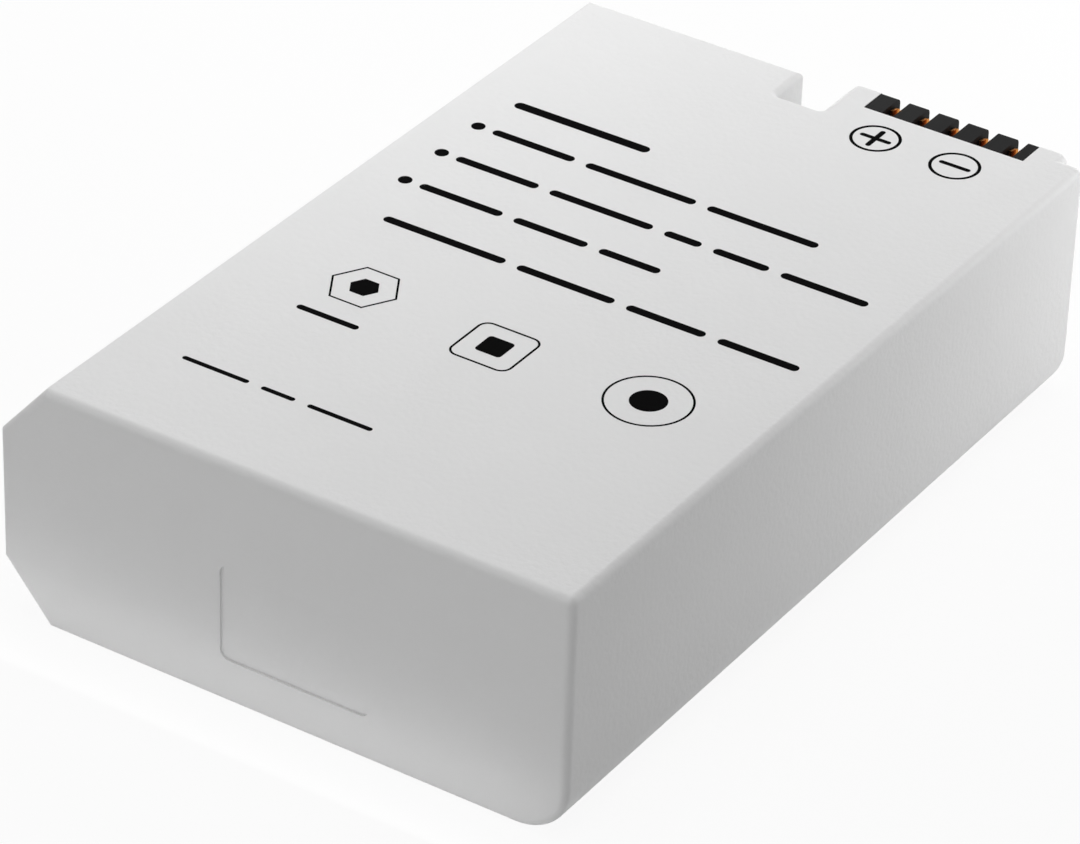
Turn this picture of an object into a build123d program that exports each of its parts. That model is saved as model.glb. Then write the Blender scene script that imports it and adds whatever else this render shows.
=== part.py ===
"""Two-cell camera battery: a welded plastic case with a keyed contact end.

Millimetres. X runs across the case, Y along it towards the contact end, Z up to the printed face.
The origin is in the middle of the face that the battery lies on.
"""

import os
from math import hypot

from build123d import *

# Overall size of the closed case
case_width = 37.1
case_length = 55.2
case_thickness = 15.5
wall = 1.0

# Long edges of the case: two chamfers on the left, a round sole edge on the right
chamfer_width = 3.1
chamfer_height = 3.6
sole_radius = 3.2
edge_radius = 0.5

# Contact end: a low boss that carries the terminals, and a key notch beside it
boss_rise = 0.85
boss_inset = 1.45
boss_radius = 0.5
notch_position = 1.1
notch_width = 3.2
notch_depth = 4.1
notch_radius = 0.3
rim_radius = 0.4

# Shallow recess in the front end face
recess_width = 9.75
recess_height = 6.15
recess_position = 1.12
recess_base = 2.85
recess_radius = 0.6
recess_depth = 0.15

# Lip of the base cover, welded into a rebate in the side walls
lip_thickness = 0.45
lip_height = 0.8
lip_clearance = 0.05

# Terminal block: slots open at the top and at the end
slot_count = 5
slot_pitch = 2.0
slot_width = 0.77
slot_depth = 2.6
slot_height = 5.0
slot_shift = 0.23
end_tooth = 0.94
tooth_radius = 0.38
block_depth = 2.32
block_setback = 0.08
block_height = 6.0
block_fit = 0.03
block_clearance = 0.2
block_foot = 0.6

# Fork contacts, one in each slot
leaf_thickness = 0.15
leaf_bend = 0.12
contact_fit = 0.03
contact_drop = 0.3
contact_setback = 0.42
crown_reach = 0.48
crown_length = 0.4
crown_gap = 0.2
lead_drop = 0.46
tail_height = 1.2

# Circuit board, held between rails on the side walls
board_thickness = 0.8
board_clearance = 0.15
rail_depth = 1.0
rail_width = 0.8
rail_fit = 0.05

# Cells and what beds them
cell_clearance = 0.15
can_radius = 0.6
pad_thickness = 0.7
pad_margin = 4.0
tape_thickness = 0.3
end_pad_thickness = 0.6
end_pad_margin = 2.0
gasket_length = 5.0
gasket_width = 3.0
gasket_thickness = 0.2
rivet_length = 3.8
rivet_width = 2.0
rivet_height = 0.5
insulator_thickness = 0.2
insulator_clearance = 0.3
insulator_gap = 0.25

# Nickel strips between the cells and the board, and the fuse
strip_thickness = 0.15
strip_width = 3.0
strip_bend = 0.2
strip_rise = 1.15
strip_clearance = 1.2
foot_length = 2.6
lead_run = 1.0
tap_width = 2.0
fuse_length = 5.0
fuse_width = 4.0
fuse_thickness = 0.6

# Parts soldered to the board
chip_size = 4.0
chip_thickness = 0.9
switch_length = 4.4
switch_width = 3.0
switch_thickness = 0.9
switch_standoff = 0.1
switch_leads = 4
lead_pitch = 0.65
lead_width = 0.3
lead_length = 0.7
lead_height = 0.4
bay_spread = 3.2
resistor_length = 3.2
resistor_width = 1.6
resistor_thickness = 0.6
capacitor_count = 3
capacitor_pitch = 2.0
capacitor_length = 1.8
capacitor_width = 1.0
capacitor_thickness = 0.9
thermistor_reach = 11.0
thermistor_length = 2.0
thermistor_width = 1.25
thermistor_thickness = 0.8

# Places along X
half_width = case_width / 2
notch_left = notch_position - notch_width / 2
notch_right = notch_position + notch_width / 2
boss_left = notch_right
boss_right = half_width - boss_inset
block_middle = (boss_left + boss_right) / 2
block_width = (slot_count - 1) * slot_pitch + slot_width + 2 * end_tooth

# Places along Y
front = -case_length / 2
boss_end = case_length / 2
body_end = boss_end - boss_rise
block_end = boss_end - block_setback
notch_floor = boss_end - notch_depth
board_front = notch_floor - wall
board_back = board_front - board_thickness
cell_end = board_back - strip_rise - strip_thickness - rivet_height - gasket_thickness
cell_start = front + wall + end_pad_thickness
cell_length = cell_end - cell_start

# Places along Z
cavity_top = case_thickness - wall
parting_height = chamfer_height
rail_base = parting_height + lip_height + lip_clearance
cell_thickness = (cavity_top - wall - 2 * pad_thickness - tape_thickness) / 2
lower_cell_z = wall + pad_thickness + cell_thickness / 2
upper_cell_z = cavity_top - pad_thickness - cell_thickness / 2

# The cells have full round sides; on the left they keep clear of the wall and of the chamfers
cell_round = cell_thickness / 2
round_inset = wall + cell_clearance + cell_round
chamfer_slope = hypot(chamfer_width, chamfer_height)
chamfer_inset = (
    round_inset * chamfer_slope - chamfer_width * (lower_cell_z - chamfer_height)
) / chamfer_height
cell_left = max(round_inset, chamfer_inset) - half_width - cell_round
cell_right = half_width - wall - cell_clearance
cell_width = cell_right - cell_left
cell_middle = (cell_left + cell_right) / 2

# How far off a plane an edge or face may be when it is chosen by its place
near = 0.001

os.makedirs("parts", exist_ok=True)


def at_y(shapes, y):
    """Those of the shapes whose middle lies at this Y."""
    return shapes.filter_by_position(Axis.Y, y - near, y + near)


def across(y):
    """Plane across the case at this Y, with Z as its second axis, facing the front end."""
    return Plane.XZ.offset(-y)


def case_section(y, inset):
    """Cross-section of the case at this Y, drawn this far inside its outer faces."""
    with BuildSketch(across(y)) as section:
        with BuildLine():
            Polyline(
                (chamfer_width - half_width, 0),
                (half_width, 0),
                (half_width, case_thickness),
                (chamfer_width - half_width, case_thickness),
                (-half_width, case_thickness - chamfer_height),
                (-half_width, chamfer_height),
                close=True,
            )
        make_face()
        fillet(section.vertices().group_by(Axis.X)[-1].sort_by(Axis.Y)[0], sole_radius)
        if inset > 0:
            offset(amount=-inset, kind=Kind.INTERSECTION)
    return section.sketch


def case_plan(inset):
    """Plan of the case with square corners, drawn this far inside its outer faces."""
    with BuildSketch() as plan:
        with BuildLine():
            Polyline(
                (inset - half_width, front + inset),
                (half_width - inset, front + inset),
                (half_width - inset, body_end - inset),
                (boss_right - inset, body_end - inset),
                (boss_right - inset, boss_end - inset),
                (boss_left + inset, boss_end - inset),
                (boss_left + inset, notch_floor - inset),
                (notch_left - inset, notch_floor - inset),
                (notch_left - inset, body_end - inset),
                (inset - half_width, body_end - inset),
                close=True,
            )
        make_face()
    return plan.sketch


def strip_side(*points, width, middle):
    """Flat strip bent along points in plan, with its width centred on this height."""
    with BuildPart() as strip:
        with BuildSketch(Plane.XY.offset(middle - width / 2)):
            with BuildLine():
                FilletPolyline(*points, radius=strip_bend)
            trace(line_width=strip_thickness)
        extrude(amount=width)
    return strip.part


# Closed outer form of the case, before it is hollowed and parted
with BuildPart() as envelope:
    extrude(case_section(boss_end, 0), amount=case_length)
    with BuildSketch() as outline:
        add(case_plan(0))
        fillet(outline.vertices().group_by(Axis.Y)[1], notch_radius)
        fillet(outline.vertices().group_by(Axis.Y)[-1], boss_radius)
    extrude(amount=case_thickness, mode=Mode.INTERSECT)
    front_face = envelope.faces().sort_by(Axis.Y)[0]
    right_edge = envelope.edges().filter_by(Axis.Y).group_by(Axis.Z)[-1].sort_by(Axis.X)[-1]
    rear_step = at_y(envelope.faces(), body_end).sort_by(Axis.X)[-1]
    fillet(front_face.edges() + [right_edge] + rear_step.edges().sort_by(Axis.X)[1:], edge_radius)
    rim = (
        envelope.faces()
        .sort_by(Axis.Z)[-1]
        .edges()
        .filter_by_position(Axis.Y, notch_floor - near, boss_end + near)
        .filter_by_position(Axis.X, -half_width, boss_right + near)
    )
    fillet(rim, rim_radius)
    with BuildSketch(across(front)):
        with Locations((recess_position, recess_base)):
            RectangleRounded(
                recess_width, recess_height, recess_radius, align=(Align.CENTER, Align.MIN)
            )
    extrude(amount=-recess_depth, mode=Mode.SUBTRACT)

# Hollow of the case, with the grooves that leave the board rails standing
with BuildPart() as core:
    extrude(case_section(boss_end, wall), amount=case_length)
    extrude(case_plan(wall), amount=case_thickness, mode=Mode.INTERSECT)
    with BuildSketch(Plane.XY.offset(rail_base)):
        for side in (-1, 1):
            with Locations((side * (half_width - wall), board_front)):
                Rectangle(2 * rail_depth, rail_width, align=(Align.CENTER, Align.MIN))
            with Locations((side * (half_width - wall), board_back - rail_fit)):
                Rectangle(2 * rail_depth, rail_width, align=(Align.CENTER, Align.MAX))
    extrude(amount=case_thickness, mode=Mode.SUBTRACT)

# Space that the base cover fills: the floor between the end walls, out to both sides
with BuildPart() as cover_space:
    with BuildSketch():
        add(case_plan(wall))
        with Locations(
            (wall / 2 - half_width, front + wall),
            (half_width - wall / 2, front + wall),
        ):
            Rectangle(wall, body_end - front - 2 * wall, align=(Align.CENTER, Align.MIN))
    extrude(amount=parting_height)

# Main case: top, sides and both end walls in one moulding
with BuildPart() as main_case:
    add(envelope.part)
    add(core.part, mode=Mode.SUBTRACT)
    add(cover_space.part, mode=Mode.SUBTRACT)
    with BuildSketch(Plane.XY.offset(parting_height)):
        for side in (-1, 1):
            with Locations((side * (half_width - wall), front + wall)):
                Rectangle(
                    2 * (lip_thickness + lip_clearance),
                    body_end - front - 2 * wall,
                    align=(Align.CENTER, Align.MIN),
                )
    extrude(amount=lip_height + lip_clearance, mode=Mode.SUBTRACT)
    with BuildSketch(Plane.XY.offset(case_thickness - block_height - block_fit)):
        with Locations((block_middle, boss_end - block_depth - block_fit)):
            Rectangle(
                block_width + 2 * block_fit, case_length, align=(Align.CENTER, Align.MIN)
            )
    extrude(amount=case_thickness, mode=Mode.SUBTRACT)
main_case.part.label = "main_case"
export_step(main_case.part, "parts/main_case.step")

# Base cover: floor with the lower chamfer and the round sole edge, and its two lips
with BuildPart() as base_cover:
    add(cover_space.part)
    add(envelope.part, mode=Mode.INTERSECT)
    add(core.part, mode=Mode.SUBTRACT)
    with BuildSketch(Plane.XY.offset(parting_height)):
        for side in (-1, 1):
            with Locations((side * (half_width - wall + lip_thickness / 2), front + wall)):
                Rectangle(
                    lip_thickness,
                    body_end - front - 2 * wall,
                    align=(Align.CENTER, Align.MIN),
                )
    extrude(amount=lip_height)
base_cover.part.label = "base_cover"
export_step(base_cover.part, "parts/base_cover.step")

# Terminal block: a foot behind the window, a head that fills it, and the row of slots
slot_places = [
    block_middle + slot_shift + (index - (slot_count - 1) / 2) * slot_pitch
    for index in range(slot_count)
]
tail_z = case_thickness - slot_height + tail_height / 2 + contact_fit
with BuildPart() as terminal_block:
    with BuildSketch(Plane.XY.offset(case_thickness - block_height - block_foot)):
        with Locations((block_middle, board_front)):
            Rectangle(
                boss_right - boss_left - 2 * (wall + block_clearance),
                boss_end - wall - block_fit - board_front,
                align=(Align.CENTER, Align.MIN),
            )
    extrude(amount=block_height + block_foot - wall - block_fit)
    with BuildSketch(Plane.XY.offset(case_thickness - block_height)):
        with Locations((block_middle, block_end)):
            Rectangle(block_width, block_depth - block_setback, align=(Align.CENTER, Align.MAX))
    extrude(amount=block_height)
    with BuildSketch(Plane.XY.offset(case_thickness - slot_height)):
        with Locations(*[(x, boss_end - slot_depth) for x in slot_places]):
            Rectangle(slot_width, case_length, align=(Align.CENTER, Align.MIN))
    extrude(amount=case_thickness, mode=Mode.SUBTRACT)
    with BuildSketch(across(boss_end - slot_depth)):
        with Locations(*[(x, tail_z) for x in slot_places]):
            Rectangle(leaf_thickness + 2 * contact_fit, tail_height + 2 * contact_fit)
    extrude(amount=case_length, mode=Mode.SUBTRACT)
    tooth_tops = terminal_block.edges().filter_by(Axis.X).group_by(Axis.Z)[-1]
    fillet(at_y(tooth_tops, block_end), tooth_radius)
terminal_block.part.label = "terminal_block"
export_step(terminal_block.part, "parts/terminal_block.step")

# Fork contacts: two sprung leaves from a common back, whose tips slope down towards the end, with a
# tail that reaches the board
leaf_offset = slot_width / 2 - contact_fit - leaf_thickness / 2
crown_offset = (crown_gap + leaf_thickness) / 2
fork_back = boss_end - slot_depth + contact_fit + leaf_thickness / 2
fork_tip = boss_end - contact_setback
fork_crown = fork_tip - crown_reach
fork_shoulder = fork_crown - crown_length
fork_floor = case_thickness - slot_height + contact_fit
fork_top = case_thickness - contact_drop
for index, x in enumerate(slot_places, start=1):
    with BuildPart() as contact:
        with BuildSketch(Plane.XY.offset(fork_floor)):
            with BuildLine():
                FilletPolyline(
                    (x - leaf_offset, fork_tip),
                    (x - crown_offset, fork_crown),
                    (x - leaf_offset, fork_shoulder),
                    (x - leaf_offset, fork_back),
                    (x + leaf_offset, fork_back),
                    (x + leaf_offset, fork_shoulder),
                    (x + crown_offset, fork_crown),
                    (x + leaf_offset, fork_tip),
                    radius=leaf_bend,
                )
            trace(line_width=leaf_thickness)
        extrude(amount=fork_top - fork_floor)
        with BuildSketch(Plane.YZ.offset(x - slot_width / 2)):
            with BuildLine():
                Polyline(
                    (fork_crown, fork_top),
                    (boss_end, fork_top - lead_drop),
                    (boss_end, fork_top),
                    close=True,
                )
            make_face()
        extrude(amount=slot_width, mode=Mode.SUBTRACT)
        with BuildSketch(Plane.XY.offset(cavity_top - contact_fit)):
            with Locations((x, fork_shoulder)):
                Rectangle(slot_width, slot_depth, align=(Align.CENTER, Align.MAX))
        extrude(amount=case_thickness, mode=Mode.SUBTRACT)
        with BuildSketch(across(fork_back)):
            with Locations((x, tail_z)):
                Rectangle(leaf_thickness, tail_height)
        extrude(amount=fork_back - board_front)
    contact.part.label = f"contact_{index}"
    export_step(contact.part, f"parts/contact_{index}.step")

# Cells, each with the gasket and rivet of its negative pole
for name, z in (("upper", upper_cell_z), ("lower", lower_cell_z)):
    with BuildPart() as cell:
        with BuildSketch(across(cell_end)):
            with Locations((cell_middle, z)):
                SlotOverall(cell_width, cell_thickness)
        extrude(amount=cell_length)
        fillet(cell.faces().sort_by(Axis.Y)[0].edges(), can_radius)
    cell.part.label = f"{name}_cell"
    export_step(cell.part, f"parts/{name}_cell.step")

    with BuildPart() as gasket:
        with BuildSketch(across(cell_end)):
            with Locations((cell_middle, z)):
                SlotOverall(gasket_length, gasket_width)
        extrude(amount=-gasket_thickness)
    gasket.part.label = f"{name}_gasket"
    export_step(gasket.part, f"parts/{name}_gasket.step")

    with BuildPart() as rivet:
        with BuildSketch(across(cell_end + gasket_thickness)):
            with Locations((cell_middle, z)):
                SlotOverall(rivet_length, rivet_width)
        extrude(amount=-rivet_height)
    rivet.part.label = f"{name}_rivet"
    export_step(rivet.part, f"parts/{name}_rivet.step")

# Foam pads above and below the cells, and the adhesive tape between them
pad_layers = (
    ("upper_pad", cavity_top - pad_thickness, pad_thickness),
    ("cell_tape", lower_cell_z + cell_thickness / 2, tape_thickness),
    ("lower_pad", wall, pad_thickness),
)
for name, base, thickness in pad_layers:
    with BuildPart() as pad:
        with BuildSketch(Plane.XY.offset(base)):
            with Locations((cell_middle, cell_start + pad_margin)):
                Rectangle(
                    cell_width - 2 * pad_margin,
                    cell_length - 2 * pad_margin,
                    align=(Align.CENTER, Align.MIN),
                )
        extrude(amount=thickness)
    pad.part.label = name
    export_step(pad.part, f"parts/{name}.step")

# Foam pad between the front end wall and the bottoms of the cells
with BuildPart() as end_pad:
    with BuildSketch(across(cell_start)):
        with Locations((cell_middle, (lower_cell_z + upper_cell_z) / 2)):
            Rectangle(
                cell_width - 2 * (cell_round + end_pad_margin),
                upper_cell_z - lower_cell_z + cell_thickness - 2 * end_pad_margin,
            )
    extrude(amount=end_pad_thickness)
end_pad.part.label = "end_pad"
export_step(end_pad.part, "parts/end_pad.step")

# Circuit board: fills the section of the case in front of the notch wall
with BuildPart() as circuit_board:
    extrude(case_section(board_front, wall + board_clearance), amount=board_thickness)
circuit_board.part.label = "circuit_board"
export_step(circuit_board.part, "parts/circuit_board.step")

# Run of the nickel strips in plan, worked out from the middle of the cells outwards
rivet_face = cell_end + gasket_thickness + rivet_height
strip_half = strip_thickness / 2
lead_x = cell_middle - gasket_length / 2 - strip_clearance
fuse_right = lead_x - lead_run
fuse_left = fuse_right - fuse_length
fuse_base = cell_end + insulator_thickness + strip_thickness
tab_x = fuse_left - lead_run
link_x = cell_middle + gasket_length / 2 + strip_clearance + strip_width / 2
link_foot_top = lower_cell_z + strip_width / 2
tap_x = link_x + strip_width / 2 + lead_run

# Paper insulator on the pole ends of both cells, open where poles and welds come through
with BuildPart() as end_insulator:
    extrude(
        case_section(cell_end + insulator_thickness, wall + insulator_clearance),
        amount=insulator_thickness,
    )
    with BuildSketch(across(cell_end + insulator_thickness)):
        with Locations((cell_middle, upper_cell_z), (cell_middle, lower_cell_z)):
            SlotOverall(gasket_length + 2 * insulator_gap, gasket_width + 2 * insulator_gap)
        with Locations((tab_x - foot_length / 2, upper_cell_z)):
            Rectangle(
                foot_length + strip_thickness + 2 * insulator_gap, strip_width + 2 * insulator_gap
            )
        with Locations((link_x, lower_cell_z)):
            Rectangle(
                strip_width + 2 * insulator_gap,
                strip_width + strip_thickness + 2 * insulator_gap,
            )
    extrude(amount=insulator_thickness, mode=Mode.SUBTRACT)
end_insulator.part.label = "end_insulator"
export_step(end_insulator.part, "parts/end_insulator.step")

# Positive tab: from the can of the upper cell up onto the fuse
with BuildPart() as positive_tab:
    add(
        strip_side(
            (tab_x - foot_length, cell_end + strip_half),
            (tab_x, cell_end + strip_half),
            (tab_x, fuse_base + fuse_thickness + strip_half),
            (fuse_right, fuse_base + fuse_thickness + strip_half),
            width=strip_width,
            middle=upper_cell_z,
        )
    )
positive_tab.part.label = "positive_tab"
export_step(positive_tab.part, "parts/positive_tab.step")

# Resettable fuse between the positive tab and its lead
with BuildPart() as fuse:
    with BuildSketch(Plane.XY.offset(upper_cell_z - fuse_width / 2)):
        with Locations((fuse_left, fuse_base)):
            Rectangle(fuse_length, fuse_thickness, align=(Align.MIN, Align.MIN))
    extrude(amount=fuse_width)
fuse.part.label = "fuse"
export_step(fuse.part, "parts/fuse.step")

# Fuse lead: from under the fuse to the board
with BuildPart() as fuse_lead:
    add(
        strip_side(
            (fuse_left, fuse_base - strip_half),
            (lead_x, fuse_base - strip_half),
            (lead_x, board_back - strip_half),
            (lead_x - foot_length, board_back - strip_half),
            width=strip_width,
            middle=upper_cell_z,
        )
    )
fuse_lead.part.label = "fuse_lead"
export_step(fuse_lead.part, "parts/fuse_lead.step")

# Negative tab: from the rivet of the lower cell to the board
with BuildPart() as negative_tab:
    add(
        strip_side(
            (cell_middle + rivet_length / 2, rivet_face + strip_half),
            (lead_x, rivet_face + strip_half),
            (lead_x, board_back - strip_half),
            (lead_x - foot_length, board_back - strip_half),
            width=rivet_width,
            middle=lower_cell_z,
        )
    )
negative_tab.part.label = "negative_tab"
export_step(negative_tab.part, "parts/negative_tab.step")

# Series link: from the rivet of the upper cell, down to the can of the lower cell
with BuildPart() as series_link:
    with BuildSketch(Plane.YZ.offset(link_x - strip_width / 2)):
        with BuildLine():
            FilletPolyline(
                (rivet_face + strip_half, upper_cell_z + rivet_width / 2),
                (rivet_face + strip_half, link_foot_top),
                (cell_end + strip_half, link_foot_top),
                (cell_end + strip_half, lower_cell_z - strip_width / 2),
                radius=strip_bend,
            )
        trace(line_width=strip_thickness)
    extrude(amount=strip_width)
    with BuildSketch(across(rivet_face)):
        with Locations((cell_middle - rivet_length / 2, upper_cell_z)):
            Rectangle(
                link_x - cell_middle + rivet_length / 2,
                rivet_width,
                align=(Align.MIN, Align.CENTER),
            )
    extrude(amount=-strip_thickness)
series_link.part.label = "series_link"
export_step(series_link.part, "parts/series_link.step")

# Tap lead: from the series link to the board
with BuildPart() as tap_lead:
    add(
        strip_side(
            (link_x - strip_width / 2, rivet_face + strip_thickness + strip_half),
            (tap_x, rivet_face + strip_thickness + strip_half),
            (tap_x, board_back - strip_half),
            (tap_x + foot_length, board_back - strip_half),
            width=tap_width,
            middle=upper_cell_z,
        )
    )
tap_lead.part.label = "tap_lead"
export_step(tap_lead.part, "parts/tap_lead.step")

# Middle of the bay beside the notch, where the board's larger parts stand
bay_middle = (wall + rail_depth - half_width + notch_left - wall) / 2

# Control chip
with BuildPart() as control_chip:
    with BuildSketch(across(board_front)):
        with Locations((bay_middle + bay_spread, upper_cell_z)):
            Rectangle(chip_size, chip_size)
    extrude(amount=-chip_thickness)
control_chip.part.label = "control_chip"
export_step(control_chip.part, "parts/control_chip.step")

# Power switch: a body stood off the board on two rows of leads
with BuildPart() as power_switch:
    with BuildSketch(across(board_front + switch_standoff)):
        with Locations((bay_middle - bay_spread, upper_cell_z)):
            Rectangle(switch_length, switch_width)
    extrude(amount=-switch_thickness)
    with BuildSketch(across(board_front)):
        with Locations((bay_middle - bay_spread, upper_cell_z)):
            with GridLocations(lead_pitch, switch_width + lead_length, switch_leads, 2):
                Rectangle(lead_width, lead_length)
    extrude(amount=-lead_height)
power_switch.part.label = "power_switch"
export_step(power_switch.part, "parts/power_switch.step")

# Sense resistor
with BuildPart() as sense_resistor:
    with BuildSketch(across(board_front)):
        with Locations((bay_middle - bay_spread, lower_cell_z)):
            Rectangle(resistor_length, resistor_width)
    extrude(amount=-resistor_thickness)
sense_resistor.part.label = "sense_resistor"
export_step(sense_resistor.part, "parts/sense_resistor.step")

# Row of capacitors
for index in range(capacitor_count):
    place = bay_middle + bay_spread + (index - (capacitor_count - 1) / 2) * capacitor_pitch
    with BuildPart() as capacitor:
        with BuildSketch(across(board_front)):
            with Locations((place, lower_cell_z)):
                Rectangle(capacitor_width, capacitor_length)
        extrude(amount=-capacitor_thickness)
    capacitor.part.label = f"capacitor_{index + 1}"
    export_step(capacitor.part, f"parts/capacitor_{index + 1}.step")

# Thermistor on the side of the board that faces the cells
with BuildPart() as thermistor:
    with BuildSketch(across(board_back)):
        with Locations((cell_middle + thermistor_reach, lower_cell_z)):
            Rectangle(thermistor_width, thermistor_length)
    extrude(amount=thermistor_thickness)
thermistor.part.label = "thermistor"
export_step(thermistor.part, "parts/thermistor.step")
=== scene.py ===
"""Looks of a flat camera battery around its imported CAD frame.

The frame gives every solid. This script gives each solid its finish, lays the print on the top face, and
sets the floor, the light and the camera. Lengths are in metres, apart from tables that say millimetres.
"""
import logging
import math
from collections.abc import Sequence
from dataclasses import dataclass, field
from enum import Enum

import bmesh
import bpy
from mathutils import Matrix, Quaternion, Vector


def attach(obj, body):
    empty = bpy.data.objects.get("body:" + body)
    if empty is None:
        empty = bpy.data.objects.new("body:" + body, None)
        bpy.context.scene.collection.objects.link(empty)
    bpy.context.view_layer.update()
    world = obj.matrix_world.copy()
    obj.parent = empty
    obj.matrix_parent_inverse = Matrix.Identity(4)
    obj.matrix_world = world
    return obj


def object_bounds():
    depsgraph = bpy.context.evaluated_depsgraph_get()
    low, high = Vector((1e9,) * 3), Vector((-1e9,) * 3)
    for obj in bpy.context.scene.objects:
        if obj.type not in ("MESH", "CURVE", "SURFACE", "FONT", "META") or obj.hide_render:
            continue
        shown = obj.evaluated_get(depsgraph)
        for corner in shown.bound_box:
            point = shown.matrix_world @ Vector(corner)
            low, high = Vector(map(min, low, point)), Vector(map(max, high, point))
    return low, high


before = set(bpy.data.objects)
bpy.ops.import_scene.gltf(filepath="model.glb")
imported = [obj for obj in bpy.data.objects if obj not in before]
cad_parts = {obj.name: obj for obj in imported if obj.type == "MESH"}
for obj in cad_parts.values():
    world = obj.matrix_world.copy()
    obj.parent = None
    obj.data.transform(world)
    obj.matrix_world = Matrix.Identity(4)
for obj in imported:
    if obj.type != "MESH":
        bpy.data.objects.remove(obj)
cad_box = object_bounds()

log = logging.getLogger("battery")

Color = tuple[float, float, float]
Point = tuple[float, float]
Place = tuple[float, float, float]

MM = 0.001
SAME_POINT = 1e-6  # outline points nearer than this, in millimetres, count as one
QUARTERS = 4
QUARTER_TURN = math.pi / 2
BODY = "root"


class Slot(Enum):
    """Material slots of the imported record."""

    CASE = "case_plastic"
    TERMINAL = "terminal_plastic"
    CONTACT = "contact_metal"
    CAN = "cell_can"
    GASKET = "gasket_plastic"
    STRIP = "nickel_strip"
    FOAM = "foam_pad"
    TAPE = "adhesive_tape"
    PAPER = "insulating_paper"
    FUSE = "fuse_body"
    BOARD = "board_laminate"
    CHIP = "chip_plastic"
    RESISTOR = "resistor_body"
    CAPACITOR = "capacitor_body"


class Socket(Enum):
    """Kinds of socket on a shader node group."""

    COLOR = "NodeSocketColor"
    VALUE = "NodeSocketFloat"
    VECTOR = "NodeSocketVector"


class Run(Enum):
    """Direction of streaks or fibres, as shares of their count along X, Y and Z."""

    ALONG_X = (0.04, 1.0, 1.0)
    ALONG_Y = (1.0, 0.04, 1.0)
    ALONG_Z = (1.0, 1.0, 0.04)


class Pole(Enum):
    """The two polarity marks, by the names of their pieces."""

    PLUS = "pole_plus"
    MINUS = "pole_minus"


def opaque(color: Color) -> tuple[float, float, float, float]:
    """The colour with full alpha."""
    return (*color, 1.0)


def facing(place: Place, aim: Place) -> Quaternion:
    """Turn of a lamp or camera that stands at one point and looks at another."""
    return (Vector(aim) - Vector(place)).to_track_quat("-Z", "Y")


def add_object(name: str, data: bpy.types.ID) -> bpy.types.Object:
    """Adds an object to the scene.

    Args:
        name: Its name.
        data: Its mesh, lamp or camera.

    Returns:
        The new object.
    """
    made = bpy.data.objects.new(name, data)
    bpy.context.scene.collection.objects.link(made)
    return made


class Nodes:
    """Short calls that add and join the nodes of one tree.

    Attributes:
        mix_inputs: Numbers of a Mix node's share and two colours, since their names repeat.
        mix_output: Number of its mixed colour.
    """

    mix_inputs = (0, 6, 7)
    mix_output = 2

    def __init__(self, tree: bpy.types.NodeTree) -> None:
        """Keeps the tree that the calls work on."""
        self.tree = tree

    @classmethod
    def fresh(cls, owner: bpy.types.Material | bpy.types.World) -> "Nodes":
        """Empties the tree of a material or a world.

        Args:
            owner: The material or world.

        Returns:
            Calls that work on its tree.
        """
        owner.use_nodes = True
        owner.node_tree.nodes.clear()
        return cls(owner.node_tree)

    def feed(self, socket: bpy.types.NodeSocket, value: object) -> None:
        """Links another node's output to an input, or sets a value on it.

        Args:
            socket: The input.
            value: An output socket, or a plain value.
        """
        if isinstance(value, bpy.types.NodeSocket):
            self.tree.links.new(value, socket)
        else:
            socket.default_value = value

    def add(
        self, kind: str, inputs: dict[str | int, object] | None = None, **settings: object
    ) -> bpy.types.Node:
        """Adds one node.

        Args:
            kind: Blender's name of the node type.
            inputs: Values or output sockets, by the name or number of the input.
            **settings: Properties of the node itself.

        Returns:
            The new node.
        """
        node = self.tree.nodes.new(kind)
        for name, value in settings.items():
            setattr(node, name, value)
        for key, value in (inputs or {}).items():
            self.feed(node.inputs[key], value)
        return node

    def math(self, operation: str, first: object, second: object = 0.0) -> bpy.types.NodeSocket:
        """Adds a Math node.

        Args:
            operation: Blender's name of the operation.
            first: Its first value or socket.
            second: Its second value or socket, where it takes one.

        Returns:
            The node's output.
        """
        return self.add("ShaderNodeMath", {0: first, 1: second}, operation=operation).outputs[0]

    def spread(self, value: bpy.types.NodeSocket, low: object, high: object) -> bpy.types.NodeSocket:
        """Maps a value of 0 to 1 onto another range.

        Args:
            value: The socket to map.
            low: Result at 0.
            high: Result at 1.

        Returns:
            The mapped output.
        """
        node = self.add("ShaderNodeMapRange", {"Value": value, "To Min": low, "To Max": high})
        return node.outputs["Result"]

    def blend(self, share: object, first: object, second: object) -> bpy.types.NodeSocket:
        """Mixes two colours.

        Args:
            share: 0 for the first colour, 1 for the second.
            first: First colour or socket.
            second: Second colour or socket.

        Returns:
            The mixed colour's output.
        """
        mixed = dict(zip(self.mix_inputs, (share, first, second)))
        return self.add("ShaderNodeMix", mixed, data_type="RGBA").outputs[self.mix_output]


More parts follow.
